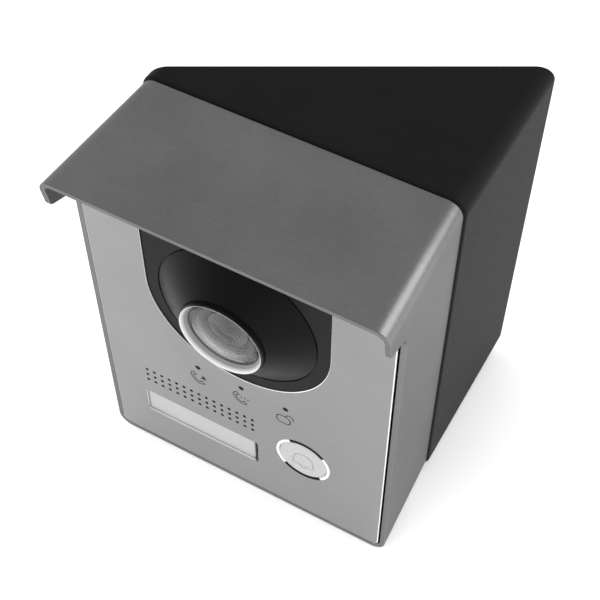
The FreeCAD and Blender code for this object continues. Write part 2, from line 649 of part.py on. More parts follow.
# the rim of the camera opening is eased a little
panel.soften(0.3, lambda e: len(e.Vertexes) == 2 and all(near(v.Point.y, -FACE.v) and abs(v.Point.x) < D.fascia_half.v + 0.3 and v.Point.z > 60 for v in e.Vertexes))
panel.cut(REAR - 0.1, FACE, *[("circle", x, z, 0.95) for x, z in leds])
panel.cut(REAR - 0.1, FACE, ("round", nl, nr, nb, nt, 0.8))
panel.cut(REAR - 0.1, FACE, ("circle", BX, BZ, D.button_ring + 0.1))
sk = panel.sketch("XZ_Plane", (0, 0, FACE))
for k in range(3):
    panel.put_circle(sk, gl, gw + gs * k, D.grille_hole)
f = panel.feature("Pocket", sk)
f.Length = 2.0
panel.pattern(f, sk, "H_Axis", gs * 14, 15)

# ---------------------------------------------------------------- camera fascia
fascia = Piece("camera_fascia")
fh = D.fascia_half
fd = FACE - 0.4
fascia.pad(REAR, fd, ("u", fh, CZ, D.fascia_top))
fascia.pad(REAR - 1.2, REAR, ("u", fh + 2.0, CZ, D.fascia_top + 2.0))
fascia.cut(REAR - 1.3, fd, ("circle", 0, CZ, 24.0))
cbase, ctip, cf, gr, rr = D.cone_base, D.cone_tip, D.cone_front, D.glass_rad, D.ring_rad
# cone: outer skin from the crease to the front rim, a seat for the glass, an even wall inside
fascia.turn(0, CZ, [(cbase, fd), (ctip + 0.5, cf - 0.35), (ctip, cf), (rr + 0.05, cf), (rr + 0.05, cf - 2.2), (10.6, cf - 2.2),
                    (10.6, cf - 3.9), (ctip - 1.6, cf - 3.9), (cbase - 3.2, REAR - 1.2), (cbase - 0.2, REAR - 1.2)])
# posts for the camera board
eyes = [(sx * 15.0, CZ + sz * 15.0) for sx in (-1, 1) for sz in (-1, 1)]
fascia.pad(26.4, REAR + 1.6, *[("circle", x, z, 2.2) for x, z in eyes])
fascia.cut(26.4, REAR + 0.4, *[("circle", x, z, 1.0) for x, z in eyes])
# groove that makes the crease
fascia.turn(0, CZ, [(cbase - 0.05, fd - 0.35), (cbase + 0.4, fd - 0.35), (cbase + 0.4, fd + 0.3), (cbase - 0.05, fd + 0.3)], kind="Groove")

seal = Piece("lens_seal")
seal.turn(0, CZ, [(10.8, cf - 2.2), (gr - 0.1, cf - 2.2), (gr - 0.1, cf - 1.7), (10.8, cf - 1.7)])

ring = Piece("lens_ring")
# a raised ring whose wide inner slope runs down to the window
ring.turn(0, CZ, [(gr + 0.1, cf - 2.2), (rr, cf - 2.2), (rr, cf + 1.3), (rr - 0.15, cf + 1.6), (rr - 0.45, cf + 1.7), (gr + 0.1, cf - 0.3)])

glass = Piece("lens_window")
rise = D.glass_rise
# outer dome through the rim and the crown; inner dome one wall behind it
rim_d = cf - 0.2
back_d = cf - 1.7
crown = (gr * gr + rise * rise) / (rise * 2)
inner_r = gr - 1.3
inner_rise = rise - 0.5
inner = (inner_r * inner_r + inner_rise * inner_rise) / (inner_rise * 2)
# a small flat at each apex keeps the turned face clear of its own axis
glass.turn(0, CZ, [(0, rim_d + rise), (0.3, rim_d + rise), (gr, rim_d), (gr, back_d), (inner_r, back_d), (0.3, back_d + inner_rise), (0, back_d + inner_rise)],
           {1: (crown, -1), 4: (inner, 1)})

# ---------------------------------------------------------------- camera module
cam = Piece("camera_board")
CAM_F, CAM_B = 26.4, 25.2
cam.pad(CAM_B, CAM_F, ("round", -18, 18, CZ - 18, CZ + 18, 1.5), *[("circle", x, z, 1.1) for x, z in eyes])
fasteners("camera_screws", eyes, 1.9, (23.9, CAM_B), 0.95, (CAM_B, 31.0), 1.1, front=False)
sensor = Piece("image_sensor")
sensor.pad(CAM_F, CAM_F + 1.0, ("poly", [(-5, CZ - 4.5), (5, CZ - 4.5), (5, CZ + 4.5), (-5, CZ + 4.5)]))
holder = Piece("lens_holder")
holder.pad(CAM_F, CAM_F + 3.4, ("round", -9, 9, CZ - 9, CZ + 9, 1.0), ("round", -7.2, 7.2, CZ - 6.6, CZ + 6.6, 0.6))
holder.pad(CAM_F + 3.4, CAM_F + 9.4, ("circle", 0, CZ, 7.6), ("circle", 0, CZ, 6.1))
barrel = Piece("lens_barrel")
barrel.turn(0, CZ, [(4.2, 29.0), (6.0, 29.0), (6.0, 36.2), (8.6, 37.4), (9.8, 38.6), (9.8, 40.2), (9.3, 40.7), (8.9, 40.7), (8.9, 40.3), (8.3, 40.3), (8.3, 39.9),
                    (7.6, 39.9), (7.6, 39.5), (6.8, 39.5), (6.8, 38.9), (4.2, 38.9)])
front_lens = Piece("lens_front_element")
front_lens.turn(0, CZ, [(0, 41.2), (0.3, 41.2), (6.5, 39.6), (6.5, 38.95), (0, 38.95)], {1: (14.0, -1)})
rear_lens = Piece("lens_rear_element")
rear_lens.turn(0, CZ, [(0, 32.2), (0.3, 32.2), (4.1, 31.5), (4.1, 30.6), (0.3, 29.9), (0, 29.9)], {1: (12.0, -1), 3: (12.0, -1)})
ribbon = Piece("camera_ribbon")
sk = ribbon.sketch("YZ_Plane", (0, 0, -5))
y0, y1 = -(CAM_B - 0.05), -(BOARD.v + 0.05)
ribbon.put_poly(sk, [(y0, 80.0), (y0, 66.0), (y1 - 0.2, 62.0), (y1 - 0.2, 60.2), (y1 + 0.0, 60.2), (y1 + 0.0, 62.1), (y0 + 0.2, 66.1), (y0 + 0.2, 80.0)])
f = ribbon.feature("Pad", sk)
f.Length = 10

# ---------------------------------------------------------------- status lights
pipes = Piece("status_light_pipes")
pipes.body.AllowCompound = True
pipes.pad(21.9, REAR, *[("circle", x, z, 1.6) for x, z in leds])
pipes.pad(REAR, FACE - 0.15, *[("circle", x, z, 0.9) for x, z in leds])
chips = leds + [(-30.0, 21.0), (-6.0, 21.0), (BX - 7.4, BZ), (BX + 7.4, BZ)]
lamps = Piece("board_leds")
lamps.body.AllowCompound = True
lamps.pad(BOARD, BOARD + 0.9, *[("poly", [(q(x) - 1.0, q(z) - 0.7), (q(x) + 1.0, q(z) - 0.7), (q(x) + 1.0, q(z) + 0.7), (q(x) - 1.0, q(z) + 0.7)]) for x, z in chips])

# ---------------------------------------------------------------- speaker and microphone
mesh = Piece("speaker_mesh")
mesh.pad(REAR - 0.3, REAR, ("round", gl - 1.6, gl + gs * 14 + 1.6, gw - 1.6, gw + gs * 2 + 1.6, 0.8))
SX, SZ = gl + gs * 7, gw + gs
sgask = Piece("speaker_gasket")
sgask.pad(30.8, FRAME, ("round", SX - 20, SX + 20, SZ - 9.6, SZ + 9.6, 8), ("round", SX - 18, SX + 18, SZ - 7.6, SZ + 7.6, 6.4))
spk = Piece("speaker_frame")
spk.pad(26.9, 30.8, ("round", SX - 20, SX + 20, SZ - 9.6, SZ + 9.6, 8), ("round", SX - 18, SX + 18, SZ - 7.6, SZ + 7.6, 6.4))
spk.pad(26.2, 26.9, ("round", SX - 20, SX + 20, SZ - 9.6, SZ + 9.6, 8), ("circle", SX, SZ, 5.6))
cone = Piece("speaker_diaphragm")
cone.pad(29.6, 30.2, ("round", SX - 17.9, SX + 17.9, SZ - 7.5, SZ + 7.5, 6.3))
cone.pad(27.6, 29.7, ("circle", SX, SZ, 4.6), ("circle", SX, SZ, 4.2))
magnet = Piece("speaker_magnet")
magnet.pad(22.4, 26.2, ("circle", SX, SZ, 8.5))
magnet.pad(26.1, 29.0, ("circle", SX, SZ, 3.8))
mic = Piece("microphone")
mic.pad(27.2, 29.8, ("circle", nr + 1.3, 24.6, 3.0))
boot = Piece("microphone_boot")
boot.pad(26.4, FRAME, ("circle", nr + 1.3, 24.6, 4.2))
boot.cut(26.4, 29.8, ("circle", nr + 1.3, 24.6, 3.0))
boot.cut(29.7, FRAME, ("circle", nr - 0.75, 24.6, 0.9))

# ---------------------------------------------------------------- name plate
name_r = nr - 1.8
window = Piece("nameplate_window")
window.pad(FACE - 2.1, FACE - 0.9, ("round", nl + 0.15, name_r, nb + 0.15, nt - 0.15, 0.7))
card = Piece("nameplate_card")
card.pad(FACE - 2.5, FACE - 2.1, ("round", nl + 0.15, name_r, nb + 0.15, nt - 0.15, 0.7))
guide = Piece("nameplate_light_guide")
guide.pad(FRAME, FACE - 2.5, ("round", nl + 0.15, name_r, nb + 0.15, nt - 0.15, 0.7))
guide.pad(21.7, FRAME + 0.2, *[("poly", [(x - 1.5, 19.4), (x + 1.5, 19.4), (x + 1.5, 22.6), (x - 1.5, 22.6)]) for x in (-30.0, -6.0)])

# ---------------------------------------------------------------- call button
br, bc = D.button_ring, D.button_cap
bezel = Piece("button_bezel")
# flange behind the plate, a front lip that holds the cap in, a guide sleeve behind it
bezel.turn(BX, BZ, [(br, FACE - 1.2), (br, REAR), (11.3, REAR), (11.3, REAR - 1.15), (10.5, REAR - 1.15), (10.5, 28.0), (8.2, 28.0), (8.2, 28.6),
                    (9.6, 28.6), (9.6, 33.2), (bc + 0.15, 33.2), (bc + 0.15, FACE - 1.2)])


def arc_pts(r, a0, a1, n=1):
    return [(r * math.cos(math.radians(a)), r * math.sin(math.radians(a))) for a in (a0, a1)]


def ring_sector(a0, a1, ri, ro):
    """A ring sector about the button axis: outer arc, end, inner arc, end."""
    (p0, p1), (p3, p2) = arc_pts(ro.v, a0, a1), arc_pts(ri.v, a0, a1)
    # big radius kept as sheet sizes, the ends as plain numbers
    return ("poly", [(BX + p0[0], BZ + p0[1]), (BX + p1[0], BZ + p1[1]), (BX + p2[0], BZ + p2[1]), (BX + p3[0], BZ + p3[1])],
            {0: (ro, 1), 2: (ri, -1)})


for a0, a1 in ((41, 121), (225, 313)):
    bezel.pad(FACE - 1.3, FACE + 0.1, ring_sector(a0, a1, bc + 0.15, br))
arcs = Piece("button_light_arcs")
arcs.body.AllowCompound = True
arcs.pad(FACE - 1.2, FACE + 0.1, *[ring_sector(a0, a1, bc + 0.15, br) for a0, a1 in ((-46.6, 40.6), (121.4, 224.6))])
cap = Piece("call_button")
cap.turn(BX, BZ, [(0, FACE + 0.25), (bc - 0.9, FACE + 0.2), (bc - 0.25, FACE + 0.05), (bc, FACE - 0.3), (bc, 33.1), (9.52, 33.1), (9.52, 31.9), (2.2, 31.9), (2.2, 25.4), (0, 25.4)])
silicone = Piece("button_membrane")
silicone.turn(BX, BZ, [(2.6, 31.88), (4.8, 31.88), (5.0, 31.2), (8.3, 29.7), (9.55, 29.7), (9.55, 28.62), (8.3, 28.62), (4.6, 30.3), (2.6, 30.9)])
tact = Piece("tact_switch")
tact.pad(BOARD, 23.8, ("round", BX - 3, BX + 3, BZ - 3, BZ + 3, 0.4))
tact.cut(21.7, 23.8, ("circle", BX, BZ, 1.85))
stem = Piece("tact_stem")
stem.pad(22.6, 25.38, ("circle", BX, BZ, 1.78))

# ---------------------------------------------------------------- main board and what is on it
board = Piece("main_board")
board.pad(BOARD_B, BOARD, ("round", -D.board_half, D.board_half, 13.2, 126, 2), *[("circle", x, z, 1.4) for x, z in posts])
fasteners("board_screws", posts, 2.4, (BOARD.v, 22.0), 1.05, (10.0, BOARD.v), 1.4)
cpu = Piece("processor")
cpu.pad(BOARD_B - 1.3, BOARD_B, ("poly", [(5, 78), (19, 78), (19, 92), (5, 92)]))
can = Piece("processor_shield")
can.pad(BOARD_B - 3.0, BOARD_B, ("round", 0, 24, 73, 97, 1.0))
can.cut(BOARD_B - 2.7, BOARD_B, ("round", 0.3, 23.7, 73.3, 96.7, 0.7))
caps = Piece("capacitors")
caps.body.AllowCompound = True
caps.pad(BOARD_B - 9.5, BOARD_B, *[("circle", x, 44.0, 4.0) for x in (14.0, 24.0)])
coil = Piece("power_inductor")
coil.pad(BOARD_B - 5.0, BOARD_B, ("round", 24, 34, 56, 66, 1.5))
relay = Piece("lock_relay")
relay.pad(BOARD_B - 10.0, BOARD_B, ("round", -32, -22, 34, 49, 0.6))
block = Piece("terminal_block")
block.pad(BOARD_B - 9.0, BOARD_B, ("poly", [(-20, 22), (10, 22), (10, 30), (-20, 30)]))
ways = [-18.1 + 3.75 * k for k in range(8)]
block.cut(BOARD_B - 9.0, BOARD_B - 5.0, *[("circle", x, 27.6, 1.35) for x in ways])
# wire entries, on the side that faces down
sk = block.sketch("XY_Plane", (0, 0, 25.5))
for x in ways:
    block.put_circle(sk, x, -(BOARD_B - 4.2), 1.2)
f = block.feature("Pocket", sk)
f.Length = 4.0
fasteners("terminal_screws", [(x, 27.6) for x in ways], 1.3, (BOARD_B.v - 8.2, BOARD_B.v - 7.0), 0.9, (BOARD_B.v - 7.0, BOARD_B.v - 5.0), 0.9, front=False)
fasteners("housing_screws", joins, 2.8, (5.2, 7.0), 1.15, (7.0, 32.0), 1.8, front=False)

# ---------------------------------------------------------------- tamper switch
tbox = Piece("tamper_switch")
tbox.pad(12.0, BOARD_B, ("round", -34, -26, 64, 72, 0.5))
tbox.cut(12.0, 17.6, ("circle", -30, 68, 1.9))
tpin = Piece("tamper_plunger")
tpin.pad(CLAMP_F + 0.02, 16.8, ("circle", -30, 68, 1.8))

# ---------------------------------------------------------------- check and write
doc.recompute()
bad = []
for label, kind, f in FEATURES:
    if any(s in f.State for s in ("Invalid", "Error")):
        bad.append("%s %s %s" % (label, kind, f.getStatusString()))
for o in doc.Objects:
    if any(s in o.State for s in ("Invalid", "Error")):
        bad.append("%s %s" % (o.Name, o.State))
for p in BODIES:
    s = p.body.Shape
    if s.isNull() or not s.isValid() or not s.Solids:
        bad.append("%s shape" % p.label)
if bad:
    raise SystemExit("failed: " + "; ".join(bad))
os.makedirs("parts", exist_ok=True)
for p in BODIES:
    s = p.body.Shape
    s.exportStep("parts/%s.step" % p.label)
    b = s.BoundBox
    print("%-22s solids %d  vol %9.1f  x %.1f..%.1f y %.1f..%.1f z %.1f..%.1f" % (p.label, len(s.Solids), s.Volume, b.XMin, b.XMax, b.YMin, b.YMax, b.ZMin, b.ZMax))
print(len(BODIES), "pieces")
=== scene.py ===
import bpy
import bmesh
import math
from mathutils import Matrix, Vector

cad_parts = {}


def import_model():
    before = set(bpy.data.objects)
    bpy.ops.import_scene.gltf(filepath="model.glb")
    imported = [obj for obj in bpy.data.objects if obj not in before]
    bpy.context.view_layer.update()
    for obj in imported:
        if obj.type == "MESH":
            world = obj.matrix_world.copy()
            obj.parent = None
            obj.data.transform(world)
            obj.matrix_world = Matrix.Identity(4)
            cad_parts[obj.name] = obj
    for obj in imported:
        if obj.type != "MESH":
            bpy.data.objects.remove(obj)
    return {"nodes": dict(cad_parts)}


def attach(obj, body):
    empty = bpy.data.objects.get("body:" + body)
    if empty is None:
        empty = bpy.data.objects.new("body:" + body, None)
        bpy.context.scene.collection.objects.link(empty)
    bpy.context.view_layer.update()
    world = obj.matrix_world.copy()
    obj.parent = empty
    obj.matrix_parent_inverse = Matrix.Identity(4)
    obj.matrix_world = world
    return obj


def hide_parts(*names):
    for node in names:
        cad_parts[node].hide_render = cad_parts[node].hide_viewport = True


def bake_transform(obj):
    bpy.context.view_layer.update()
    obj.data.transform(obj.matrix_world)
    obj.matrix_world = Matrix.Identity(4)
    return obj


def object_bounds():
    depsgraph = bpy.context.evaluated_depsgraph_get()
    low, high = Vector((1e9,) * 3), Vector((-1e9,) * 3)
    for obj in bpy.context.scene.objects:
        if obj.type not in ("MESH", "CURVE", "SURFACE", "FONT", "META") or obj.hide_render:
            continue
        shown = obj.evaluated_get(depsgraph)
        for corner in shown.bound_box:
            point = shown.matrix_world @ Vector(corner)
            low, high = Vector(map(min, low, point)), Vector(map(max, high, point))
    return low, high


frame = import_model()
cad_lo, cad_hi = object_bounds()
N = frame["nodes"]

# ------------------------------------------------------------------ station frame
# x to the right, d forwards from the bracket, z up, in millimetres
TH = math.radians(29.4)
CT, ST, TT = math.cos(TH), math.sin(TH), math.tan(TH)
OFF_X = (3.2 + 51.0 * TT) * ST
OFF_Y = -(51.0 * ST + 3.2 * CT)
TO_ROW = Matrix(((CT, ST, 0, -OFF_X), (-ST, CT, 0, OFF_Y), (0, 0, 1, -68.0), (0, 0, 0, 1)))
MM = Matrix.Scale(0.001, 4) @ TO_ROW
FACE = 35.6


def axes(x, d, z):
    """Station millimetres to the turned object coordinates that the materials use."""
    p = TO_ROW @ Vector((x, -d, z))
    return (p.x * CT - p.y * ST, p.x * ST + p.y * CT, p.z)


AXIS = (axes(0, 0, 94.2)[0], axes(0, 0, 94.2)[2])


def row(x, d, z):
    """Station millimetres to row-frame metres."""
    return MM @ Vector((x, -d, z))


# ------------------------------------------------------------------ material helpers
class Mat:
    """A node material in short calls.  Coordinates are the object's own, in millimetres."""

    def __init__(self, name, **values):
        self.m = bpy.data.materials.new(name)
        self.m.use_nodes = True
        self.t = self.m.node_tree
        self.t.nodes.clear()
        self.out = self.t.nodes.new("ShaderNodeOutputMaterial")
        self.b = self.t.nodes.new("ShaderNodeBsdfPrincipled")
        self.t.links.new(self.b.outputs[0], self.out.inputs[0])
        self.set(**values)
        self.height = None
        self.station = None

    def set(self, **values):
        keys = {"base": "Base Color", "metal": "Metallic", "rough": "Roughness", "ior": "IOR", "trans": "Transmission Weight",
                "coat": "Coat Weight", "coat_rough": "Coat Roughness", "spec": "Specular IOR Level", "aniso": "Anisotropic",
                "sheen": "Sheen Weight", "sheen_rough": "Sheen Roughness", "alpha": "Alpha", "sub": "Subsurface Weight",
                "sub_scale": "Subsurface Scale", "emit": "Emission Color", "emit_strength": "Emission Strength"}
        for k, v in values.items():
            s = self.b.inputs[keys[k]]
            if s.type == "RGBA":
                v = (v, v, v, 1.0) if isinstance(v, (int, float)) else (*v[:3], 1.0)
            s.default_value = v

    def node(self, kind, **inputs):
        n = self.t.nodes.new(kind)
        for k, v in inputs.items():
            k = k.replace("_", " ")
            if hasattr(v, "links") or isinstance(v, bpy.types.NodeSocket):
                self.t.links.new(v, n.inputs[k])
            else:
                n.inputs[k].default_value = v
        return n

    def coords(self, scale=(1, 1, 1), turned=True):
        """Object coordinates in millimetres, along the station's own axes, times scale."""
        if self.station is None:
            tc = self.t.nodes.new("ShaderNodeTexCoord")
            mp = self.t.nodes.new("ShaderNodeMapping")
            mp.inputs["Scale"].default_value = (1000, 1000, 1000)
            mp.inputs["Rotation"].default_value = (0, 0, TH if turned else 0)
            self.t.links.new(tc.outputs["Object"], mp.inputs["Vector"])
            self.station = mp.outputs[0]
        mp = self.t.nodes.new("ShaderNodeMapping")
        mp.inputs["Scale"].default_value = scale
        self.t.links.new(self.station, mp.inputs["Vector"])
        return mp.outputs[0]

    def noise(self, scale=(1, 1, 1), detail=4.0, rough=0.6, distort=0.0):
        n = self.t.nodes.new("ShaderNodeTexNoise")
        n.inputs["Scale"].default_value = 1.0
        n.inputs["Detail"].default_value = detail
        n.inputs["Roughness"].default_value = rough
        n.inputs["Distortion"].default_value = distort
        self.t.links.new(self.coords(scale), n.inputs["Vector"])
        return n.outputs["Fac"]

    def span(self, fac, lo, hi, a=0.3, b=0.7):
        """Maps a to lo and b to hi."""
        n = self.t.nodes.new("ShaderNodeMapRange")
        n.inputs["From Min"].default_value = a
        n.inputs["From Max"].default_value = b
        n.inputs["To Min"].default_value = lo
        n.inputs["To Max"].default_value = hi
        self.t.links.new(fac, n.inputs["Value"])
        return n.outputs[0]

    def mix(self, fac, a, b):
        n = self.t.nodes.new("ShaderNodeMix")
        n.data_type = "RGBA"
        for key, v in (("Factor", fac), ("A", a), ("B", b)):
            socket = [s for s in n.inputs if s.name == key and (s.type == "RGBA" or key == "Factor") and s.enabled][0]
            if isinstance(v, bpy.types.NodeSocket):
                self.t.links.new(v, socket)
            elif key == "Factor":
                socket.default_value = v
            else:
                socket.default_value = (v, v, v, 1.0) if isinstance(v, (int, float)) else (*v[:3], 1.0)
        return [s for s in n.outputs if s.type == "RGBA"][0]

    def math(self, op, a, b=0.0):
        n = self.t.nodes.new("ShaderNodeMath")
        n.operation = op
        for i, v in enumerate((a, b)):
            if isinstance(v, bpy.types.NodeSocket):
                self.t.links.new(v, n.inputs[i])
            else:
                n.inputs[i].default_value = v
        return n.outputs[0]

    def colour(self, socket):
        self.t.links.new(socket, self.b.inputs["Base Color"])

    def roughness(self, socket):
        self.t.links.new(socket, self.b.inputs["Roughness"])

    def bump(self, fac, height_mm, strength=1.0):
        """Adds relief, height given in millimetres for a full swing of fac."""
        n = self.t.nodes.new("ShaderNodeBump")
        n.inputs["Strength"].default_value = strength
        n.inputs["Distance"].default_value = height_mm / 1000.0
        self.t.links.new(fac, n.inputs["Height"])
        if self.height is not None:
            self.t.links.new(self.height, n.inputs["Normal"])
        self.height = n.outputs[0]
        self.t.links.new(self.height, self.b.inputs["Normal"])


def brushed(name, tone, rough, along, grain=0.10, cloud=0.05, bump=0.0012, edge_highlight_tone=None, ends=None, tint=1.0):
    """Fine brushed steel.  along gives the texture scale on the station axes: small along the grain.
    The highlight tone argument paints a bright highlight on the rounded edges and walls round a sheet's face, and
    painted shade on the walls of the listed holes; ends that of edges that look forwards.
    tint is the tone at grazing angles."""
    m = Mat(name, metal=1.0, rough=rough)
    m.b.inputs["Specular Tint"].default_value = (tint, tint, tint, 1.0)
    fine = m.noise(along, detail=5.0, rough=0.7)
    broad = m.noise((0.03, 0.03, 0.03), detail=3.0)
    a = m.math("ADD", m.span(fine, 1 - grain, 1 + grain), m.span(broad, -cloud, cloud))
    v = m.math("MULTIPLY", a, tone)
    comb = m.t.nodes.new("ShaderNodeCombineColor")
    for i, k in enumerate((1.0, 0.998, 0.99)):
        m.t.links.new(m.math("MULTIPLY", v, k), comb.inputs[i])
    base, gloss = comb.outputs[0], m.span(fine, rough - 0.05, rough + 0.07)
    if edge_highlight_tone or ends:
        tc = m.t.nodes.new("ShaderNodeTexCoord")
        dot = m.t.nodes.new("ShaderNodeVectorMath")
        dot.operation = "DOT_PRODUCT"
        dot.inputs[1].default_value = (-ST, -CT, 0)
        m.t.links.new(tc.outputs["Normal"], dot.inputs[0])
        facing = m.math("ABSOLUTE", dot.outputs["Value"])
        if edge_highlight_tone:
            # painted highlight: faces that do not look forwards (edges, fillets, walls) get the bright highlight tone
            # and a lower roughness
            painted_highlight = m.span(facing, 1, 0, 0.93, 0.99)
            at = m.t.nodes.new("ShaderNodeSeparateXYZ")
            m.t.links.new(m.coords(), at.inputs[0])
            # boxes left without the painted highlight: the grille holes, the status light holes and the left rim of the
            # camera's U
            for x0, z0, x1, z1, hole in ((-38.0, 35.6, 6.0, 44.0, True), (-18.0, 57.0, 18.0, 59.6, True), (-31.6, 64.5, -4.0, 128.0, False)):
                (ax, _, az), (bx, _, bz) = axes(x0, 0, z0), axes(x1, 0, z1)
                inside = m.math("MULTIPLY", m.math("GREATER_THAN", at.outputs["X"], ax), m.math("LESS_THAN", at.outputs["X"], bx))
                tall = m.math("MULTIPLY", m.math("GREATER_THAN", at.outputs["Z"], az), m.math("LESS_THAN", at.outputs["Z"], bz))
                small = m.math("MULTIPLY", m.math("MULTIPLY", inside, tall), m.math("LESS_THAN", facing, 0.9))
                painted_highlight = m.math("SUBTRACT", painted_highlight, small)
                # painted shade: the walls of the grille and status light holes are coloured near black
                if hole:
                    base = m.mix(small, base, 0.05)
            painted_highlight = m.math("MAXIMUM", painted_highlight, 0.0)
            base = m.mix(painted_highlight, base, edge_highlight_tone)
            gloss = m.math("SUBTRACT", gloss, m.math("MULTIPLY", painted_highlight, rough * 0.45))
        else:
            base = m.mix(m.span(facing, 0, 1, 0.75, 0.93), base, ends)
    m.colour(base)
    m.roughness(gloss)
    m.bump(fine, bump)
    return m.m


def moulded(name, base, rough, spec=0.5, pit=0.012, size=2.2, cloud=0.12, coat=0.0, metal=0.0):
    """Moulded or powder-coated surface: fine even grain, a little broad unevenness."""
    m = Mat(name, rough=rough, spec=spec, metal=metal, coat=coat)
    if coat:
        m.set(coat_rough=0.12)
    fine = m.noise((size, size, size), detail=3.0, rough=0.55)
    broad = m.noise((0.05, 0.05, 0.05), detail=3.0)
    lo = [c * (1 - cloud) for c in base]
    hi = [min(1.0, c * (1 + cloud)) for c in base]
    m.colour(m.mix(m.span(m.math("ADD", m.math("MULTIPLY", fine, 0.5), m.math("MULTIPLY", broad, 0.5)), 0, 1), lo, hi))
    m.roughness(m.span(fine, rough - 0.06, rough + 0.06))
    m.bump(fine, pit)
    return m.m


def put(node, material):
    o = N[node]
    o.data.materials.clear()
    o.data.materials.append(material)
    for p in o.data.polygons:
        p.material_index = 0


# ------------------------------------------------------------------ materials
hood_steel = brushed("hood_steel", 0.25, 0.36, (0.35, 5.0, 0.35), grain=0.14, cloud=0.08, bump=0.010, ends=0.22, tint=0.52)
# the front plate gets a painted highlight of tone 0.97 on its edges and walls, and painted shade in its holes
plate_steel = brushed("plate_steel", 0.29, 0.34, (0.25, 0.25, 8.0), grain=0.06, cloud=0.04, bump=0.0016, edge_highlight_tone=0.97)
wedge_black = moulded("wedge_black", (0.0055, 0.0055, 0.0057), 0.6, spec=0.13, pit=0.012, size=1.6, cloud=0.18)
case_black = moulded("case_black", (0.03, 0.03, 0.031), 0.5, pit=0.02, size=1.8)
fascia_black = moulded("fascia_black", (0.0015, 0.0015, 0.0015), 0.34, spec=0.10, pit=0.004, size=3.0, cloud=0.1)
zinc = brushed("zinc_steel", 0.55, 0.42, (0.8, 0.8, 0.8), grain=0.1, cloud=0.12, bump=0.004)
screw_steel = brushed("screw_steel", 0.58, 0.28, (2.5, 2.5, 2.5), grain=0.08, cloud=0.05, bump=0.002)
seal_rubber = moulded("seal_rubber", (0.02, 0.02, 0.02), 0.7, spec=0.3, pit=0.03, size=2.5)
lens_black = moulded("lens_black", (0.03, 0.03, 0.03), 0.42, pit=0.006, size=4.0)
chip_black = moulded("chip_black", (0.03, 0.03, 0.03), 0.6, pit=0.01, size=6.0)
diffuse_plastic = moulded("diffuse_plastic", (0.78, 0.78, 0.77), 0.45, pit=0.004, size=2.0, cloud=0.03)
relay_blue = moulded("relay_blue", (0.05, 0.12, 0.33), 0.45, pit=0.012, size=2.5)
terminal_green = moulded("terminal_green", (0.06, 0.30, 0.13), 0.45, pit=0.012, size=2.5)
ferrite = moulded("ferrite", (0.06, 0.06, 0.065), 0.7, pit=0.05, size=1.8)
ring_black = moulded("ring_black", (0.0012, 0.0012, 0.0012), 0.4, spec=0.04, pit=0.002, size=3.0)
can_aluminium = brushed("can_aluminium", 0.75, 0.3, (1.0, 1.0, 6.0), grain=0.06)
shield_tin = brushed("shield_tin", 0.6, 0.36, (0.5, 0.5, 0.5), grain=0.08, cloud=0.08, bump=0.006)
brass = brushed("brass", 0.7, 0.3, (3, 3, 3), grain=0.06)
chrome = brushed("ring_chrome", 0.8, 0.12, (1.5, 1.5, 1.5), grain=0.03, cloud=0.02, bump=0.0004)


def brass_tint():
    n = brass.node_tree.nodes
    for c in [x for x in n if x.bl_idname == "ShaderNodeCombineColor"]:
        for i, k in enumerate((1.0, 0.78, 0.42)):
            c.inputs[i].links[0].from_node.inputs[1].default_value = k


brass_tint()


def glass(name, tint, rough, ior=1.49, fleck=0.01):
    m = Mat(name, rough=rough, trans=1.0, ior=ior)
    n = m.noise((0.15, 0.15, 0.15), detail=2.0)
    lo = [c * (1 - fleck) for c in tint]
    m.colour(m.mix(m.span(n, 0, 1), lo, tint))
    m.roughness(m.span(n, rough, rough + 0.015))
    return m.m


lens_glass = glass("lens_glass", (0.92, 0.93, 0.93), 0.07, 1.38)
lens_glass.node_tree.nodes["Principled BSDF"].inputs["Specular Tint"].default_value = (0.5, 0.5, 0.5, 1.0)


def retainer_material():
    """Satin ring: black outside; its inner sloping face is bright satin at the crest, with painted shade darkening it
    towards the window.
    """
    m = Mat("lens_retainer", rough=0.3, spec=0.3)
    sep = m.t.nodes.new("ShaderNodeSeparateXYZ")
    m.t.links.new(m.coords(), sep.inputs[0])
    cx, cz = AXIS
    dx = m.math("SUBTRACT", sep.outputs["X"], cx)
    dz = m.math("SUBTRACT", sep.outputs["Z"], cz)
    r = m.math("SQRT", m.math("ADD", m.math("MULTIPLY", dx, dx), m.math("MULTIPLY", dz, dz)))
    fine = m.noise((3, 3, 3), detail=4.0)
    # painted shade: the bright satin face darkens from 0.86 at the crest to 0.24 next to the window
    slope_and_painted_shade = m.mix(m.span(r, 0, 1, 12.5, 13.4), (0.24, 0.24, 0.24), (0.86, 0.86, 0.86))
    bright = m.math("LESS_THAN", r, 13.5)
    m.colour(m.mix(bright, m.mix(fine, 0.004, 0.008), slope_and_painted_shade))
    m.roughness(m.span(fine, 0.26, 0.34))
    return m.m


def board_material():
    m = Mat("board_green", rough=0.35, spec=0.5, coat=0.3)
    m.set(coat_rough=0.15)
    # copper runs under the mask: straight bands that change course from block to block
    vor = m.t.nodes.new("ShaderNodeTexVoronoi")
    vor.feature = "DISTANCE_TO_EDGE"
    vor.inputs["Scale"].default_value = 1.0
    m.t.links.new(m.coords((0.16, 0.16, 0.16)), vor.inputs["Vector"])
    wave = m.t.nodes.new("ShaderNodeTexWave")
    wave.inputs["Scale"].default_value = 1.0
    wave.inputs["Distortion"].default_value = 1.2
    wave.inputs["Detail"].default_value = 1.0
    m.t.links.new(m.coords((0.35, 0.35, 0.35)), wave.inputs["Vector"])
    tracks = m.math("GREATER_THAN", wave.outputs["Fac"], 0.62)
    edges = m.math("LESS_THAN", vor.outputs["Distance"], 0.05)
    m.colour(m.mix(m.math("MAXIMUM", tracks, edges), (0.012, 0.075, 0.035), (0.03, 0.15, 0.07)))
    m.bump(tracks, 0.03)
    return m.m


lens_retainer = retainer_material()
board_green = board_material()


